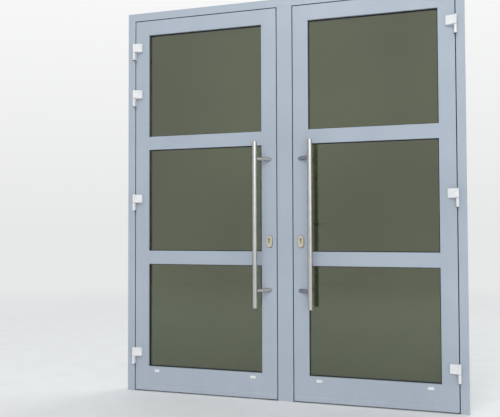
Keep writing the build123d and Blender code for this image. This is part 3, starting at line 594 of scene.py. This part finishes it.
def anchor_caps():
    """Plastic caps in the access holes of the wall anchors."""
    build = bmesh.new()
    for side in hands.values():
        for level in anchor_levels:
            hole = (side * jamb_inside_x, anchor_y, level)
            add_turned(build, anchor_cap_section, hole, (-side, 0, 0))
        hole = (side * head_anchor_x, anchor_y, head_bottom_z)
        add_turned(build, anchor_cap_section, hole, (0, 0, -1))
    new_piece("anchor_caps", build, "block_plastic", "frame")


def lock_screws():
    """Cross-headed screws: sunk in the strike plates, raised on the faceplates."""
    recess = cross(recess_reach, recess_half_width)
    sunk = with_recess(sunk_screw_section, recess, recess_depth)
    raised = with_recess(raised_screw_section, recess, recess_depth)
    strikes = bmesh.new()
    for hand, side in hands.items():
        for level in strike_screw_levels:
            head = (side * strike_front_x, lock_middle_y, level)
            add_turned(strikes, sunk, head, (side, 0, 0), fine_steps)
        faceplate = bmesh.new()
        for level in faceplate_screw_levels:
            head = (side * lock_edge_x, lock_middle_y, level)
            add_turned(faceplate, raised, head, (-side, 0, 0), fine_steps)
        new_piece(f"{hand}_faceplate_screws", faceplate, "hard_steel", f"{hand}_leaf")
    piece = new_piece("cross_head_screws", strikes, "hard_steel", "frame")
    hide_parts("strike_screws")


def shade_seal_corners(side, inset):
    """Corners of a seal's line, up the mullion, across under the head and down the jamb."""
    inner = side * (mullion_side_x + inset)
    outer = side * (jamb_inside_x - inset)
    top = head_bottom_z - inset
    return ((inner, shade_seal_foot_z), (inner, top), (outer, top), (outer, shade_seal_foot_z))


def joint_shade_seals():
    """Black lip seals just inside the joint round each leaf, up both sides and across the top: a
    dark sheet standing in for the shade in the open joint, painted shade.
    """
    for hand, side in hands.items():
        build = bmesh.new()
        lines = [(depth, shade_seal_corners(side, inset)) for inset, depth in shade_seal_section]
        rings = []
        for corner in range(len(lines[0][1])):
            ring = []
            for depth, corners in lines:
                x, z = corners[corner]
                ring.append(build.verts.new((x, depth, z)))
            rings.append(ring)
        add_rings(build, rings, False)
        new_piece(f"{hand}_joint_shade_seal", build, "black_rubber", "frame")


def rose_shade_gaskets():
    """Thin black gaskets that the cylinder roses are bedded on; their rim round each rose also
    stands in for its contact shadow, partly painted shade.
    """
    outer = oval(rose_radius + gasket_lip, rose_half_straight)
    edge = oval(rose_radius + gasket_lip / 2, rose_half_straight)
    inner = oval(rose_radius - gasket_lip, rose_half_straight)
    section = (
        (inner, 0.0),
        (outer, 0.0),
        (outer, gasket_thickness / 2),
        (edge, gasket_thickness),
        (inner, gasket_thickness),
    )
    for hand, side in hands.items():
        build = bmesh.new()
        for depth, direction in ((0.0, -1), (inner_face_y, 1)):
            place = (side * rose_middle[0], depth, rose_middle[1])
            add_turned(build, section, place, (0, direction, 0), fine_steps, hollow=True)
        new_piece(f"{hand}_rose_shade_gaskets", build, "black_rubber", f"{hand}_leaf")


def post_lines(side, level):
    """Closed lines round a slanted post, where it meets the bar and where it meets the stile."""
    bar = Vector((side * bar_place[0], bar_place[1], level))
    slant = Vector((-side * bar_sideways, -bar_place[1], 0)).normalized()
    across = slant.cross(Vector((0, 0, 1)))
    at_bar = []
    at_stile = []
    for step in range(bead_steps):
        angle = 2 * pi * step / bead_steps
        offset = post_radius * (Vector((0, 0, cos(angle))) + across * sin(angle))
        into_bar = sqrt(bar_radius**2 - (post_radius * sin(angle)) ** 2)
        to_leaf = -(bar.y + offset.y) / slant.y
        at_bar.append(bar + offset + slant * into_bar)
        at_stile.append(bar + offset + slant * to_leaf)
    return at_bar, at_stile


def handle_seams():
    """Weld beads where the posts meet the bar, and thin washers where they meet the stile."""
    for hand, side in hands.items():
        welds = bmesh.new()
        washers = bmesh.new()
        for level in post_levels:
            at_bar, at_stile = post_lines(side, level)
            add_bead(welds, at_bar, weld_radius)
            add_bead(washers, at_stile, washer_radius)
        new_piece(f"{hand}_handle_welds", welds, "stainless", f"{hand}_leaf")
        new_piece(f"{hand}_post_washers", washers, "black_rubber", f"{hand}_leaf")


def add_carrier(build, low, high, foot_z):
    """Adds the bar that the bristles stand in, as wide as the seal."""
    section = ((low.y, foot_z), (high.y, foot_z), (high.y, high.z), (low.y, high.z))
    ends = [[build.verts.new((x, y, z)) for y, z in section] for x in (low.x, high.x)]
    add_rings(build, ends, False)


def add_bristle(build, tip, root):
    """Adds a bristle with a few flat sides, thinner at its tip."""
    rings = []
    for (x, y, z), reach in ((tip, bristle_tip_radius), (root, bristle_radius)):
        ring = []
        for corner in range(bristle_corners):
            angle = 2 * pi * corner / bristle_corners
            ring.append(build.verts.new((x + reach * cos(angle), y + reach * sin(angle), z)))
        rings.append(ring)
    add_rings(build, rings, False)


def brush_seals():
    """Rows of bristles in a narrow carrier under each leaf, each leaning its own way."""
    draw = Random(bristle_seed)
    for hand in hands:
        low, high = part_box(f"{hand}_foot_seal")
        root_z = high.z - bristle_carrier
        build = bmesh.new()
        add_carrier(build, low, high, root_z)
        count = int((high.x - low.x) / bristle_pitch)
        spacing = (high.y - low.y) / bristle_rows
        for row in range(bristle_rows):
            for step in range(count):
                x = low.x + (step + 0.5) * bristle_pitch
                y = low.y + (row + 0.5) * spacing
                tip_x = x + draw.uniform(-bristle_lean, bristle_lean)
                tip_y = y + draw.uniform(-bristle_lean, bristle_lean)
                tip_z = low.z + draw.uniform(0, bristle_lean)
                add_bristle(build, (tip_x, tip_y, tip_z), (x, y, root_z))
        piece = new_piece(f"{hand}_brush_seal", build, "brush_fibre", f"{hand}_leaf")
        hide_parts(f"{hand}_foot_seal")


def place_camera():
    """Camera at the photograph's viewpoint."""
    ahead = Vector(
        (
            -sin(camera_yaw) * cos(camera_pitch),
            cos(camera_yaw) * cos(camera_pitch),
            sin(camera_pitch),
        )
    )
    right = Vector((cos(camera_yaw), sin(camera_yaw), 0))
    up = right.cross(ahead)
    tilted_right = right * cos(camera_roll) - up * sin(camera_roll)
    tilted_up = right * sin(camera_roll) + up * cos(camera_roll)
    turn = Matrix((tilted_right, tilted_up, -ahead)).transposed()
    data = bpy.data.cameras.new("camera")
    data.sensor_width = sensor_width
    data.lens = sensor_width * focal_pixels / photo_width
    data.clip_end = view_depth
    camera = bpy.data.objects.new("camera", data)
    camera.matrix_world = Matrix.Translation(camera_place) @ turn.to_4x4()
    bpy.context.scene.collection.objects.link(camera)
    bpy.context.scene.camera = camera


def seen_rays(tree):
    """1 for what the camera sees, directly, mirrored or through glass, and 0 for light alone."""
    rays = tree.nodes.new("ShaderNodeLightPath")
    seen = rays.outputs["Is Camera Ray"]
    for other in ("Is Glossy Ray", "Is Transmission Ray"):
        either = tree.nodes.new("ShaderNodeMath")
        either.operation = "MAXIMUM"
        tree.links.new(seen, either.inputs[0])
        tree.links.new(rays.outputs[other], either.inputs[1])
        seen = either.outputs["Value"]
    return seen


def distance_from_door(tree):
    """Distance of a point on the floor from the middle of the door's foot."""
    place = tree.nodes.new("ShaderNodeTexCoord")
    length = tree.nodes.new("ShaderNodeVectorMath")
    length.operation = "LENGTH"
    tree.links.new(place.outputs["Object"], length.inputs[0])
    return length.outputs["Value"]


def pale_floor():
    """Pale floor that keeps shadows near the door and runs into the backdrop further out."""
    bpy.ops.mesh.primitive_plane_add(size=floor_size, location=(0, 0, 0))
    floor = bpy.context.object
    floor.name = "studio_floor"
    material, tree, shader = new_material("floor", roughness=0.7)
    clouds = patches(tree, cells=6, detail=5, span=wide_span)
    tinted(tree, shader, clouds, floor_colour, floor_shade)
    fade = tree.nodes.new("ShaderNodeMapRange")
    fade.interpolation_type = "SMOOTHSTEP"
    fade.inputs["From Min"].default_value = floor_fade_start
    fade.inputs["From Max"].default_value = floor_fade_end
    tree.links.new(distance_from_door(tree), fade.inputs["Value"])
    far = tree.nodes.new("ShaderNodeEmission")
    far.inputs["Color"].default_value = (*horizon_colour, 1)
    mix = tree.nodes.new("ShaderNodeMixShader")
    tree.links.new(product(tree, fade.outputs["Result"], seen_rays(tree)), mix.inputs["Fac"])
    tree.links.new(shader.outputs["BSDF"], mix.inputs[1])
    tree.links.new(far.outputs["Emission"], mix.inputs[2])
    tree.links.new(mix.outputs["Shader"], tree.nodes["Material Output"].inputs["Surface"])
    floor.data.materials.append(material)


def glow(tree, direction, height):
    """Strength of the backdrop: 1, and more in a soft patch that only reflections show."""
    towards = tree.nodes.new("ShaderNodeVectorMath")
    towards.operation = "DOT_PRODUCT"
    towards.inputs[1].default_value = (
        sin(glow_side) * cos(glow_rise),
        -cos(glow_side) * cos(glow_rise),
        sin(glow_rise),
    )
    tree.links.new(direction, towards.inputs[0])
    patch = ranged(tree, towards.outputs["Value"], cos(glow_spread), 1.0)
    above = ranged(tree, height, 0.0, glow_fade_in)
    rays = tree.nodes.new("ShaderNodeLightPath")
    mirrored = product(tree, product(tree, patch, above), rays.outputs["Is Glossy Ray"])
    return ranged(tree, mirrored, 0.0, 1.0, to_low=1.0, to_high=glow_light)


def surroundings():
    """Even light from all sides, seen as a pale backdrop that grows white above the horizon."""
    world = bpy.data.worlds.new("studio")
    world.use_nodes = True
    bpy.context.scene.world = world
    tree = world.node_tree
    lit = tree.nodes["Background"]
    lit.inputs["Color"].default_value = (*world_colour, 1)
    lit.inputs["Strength"].default_value = world_light
    direction = tree.nodes.new("ShaderNodeTexCoord")
    split = tree.nodes.new("ShaderNodeSeparateXYZ")
    tree.links.new(direction.outputs["Generated"], split.inputs["Vector"])
    rise = ranged(tree, split.outputs["Z"], 0.0, backdrop_rise)
    colour = colour_mix(tree, rise, horizon_colour, backdrop_colour)
    strength = glow(tree, direction.outputs["Generated"], split.outputs["Z"])
    backdrop = tree.nodes.new("ShaderNodeBackground")
    tree.links.new(colour, backdrop.inputs["Color"])
    tree.links.new(strength, backdrop.inputs["Strength"])
    mix = tree.nodes.new("ShaderNodeMixShader")
    tree.links.new(seen_rays(tree), mix.inputs["Fac"])
    tree.links.new(lit.outputs["Background"], mix.inputs[1])
    tree.links.new(backdrop.outputs["Background"], mix.inputs[2])
    tree.links.new(mix.outputs["Shader"], tree.nodes["World Output"].inputs["Surface"])


def softbox(name, place, target, width, height, power):
    """Large soft lamp that points at a place."""
    data = bpy.data.lights.new(name, "AREA")
    data.shape = "RECTANGLE"
    data.size = width
    data.size_y = height
    data.energy = power
    lamp = bpy.data.objects.new(name, data)
    aim = Vector(target) - Vector(place)
    lamp.location = place
    lamp.rotation_mode = "QUATERNION"
    lamp.rotation_quaternion = aim.to_track_quat("-Z", "Y")
    bpy.context.scene.collection.objects.link(lamp)
    return lamp


def lamps():
    """Large key lamp high in front, a weak fill that nothing mirrors, and one behind the door."""
    softbox("key_lamp", key_place, door_foot, width=6.0, height=4.5, power=560)
    fill = softbox("fill_lamp", fill_place, door_foot, width=1.8, height=1.2, power=42)
    fill.visible_glossy = False
    fill.visible_transmission = False
    softbox("back_lamp", back_place, door_middle, width=3.0, height=1.6, power=60)


bpy.context.scene.view_settings.view_transform = "Standard"
dress_cad_pieces()
hinge_caps()
anchor_caps()
lock_screws()
joint_shade_seals()
rose_shade_gaskets()
handle_seams()
brush_seals()
place_camera()
pale_floor()
surroundings()
lamps()
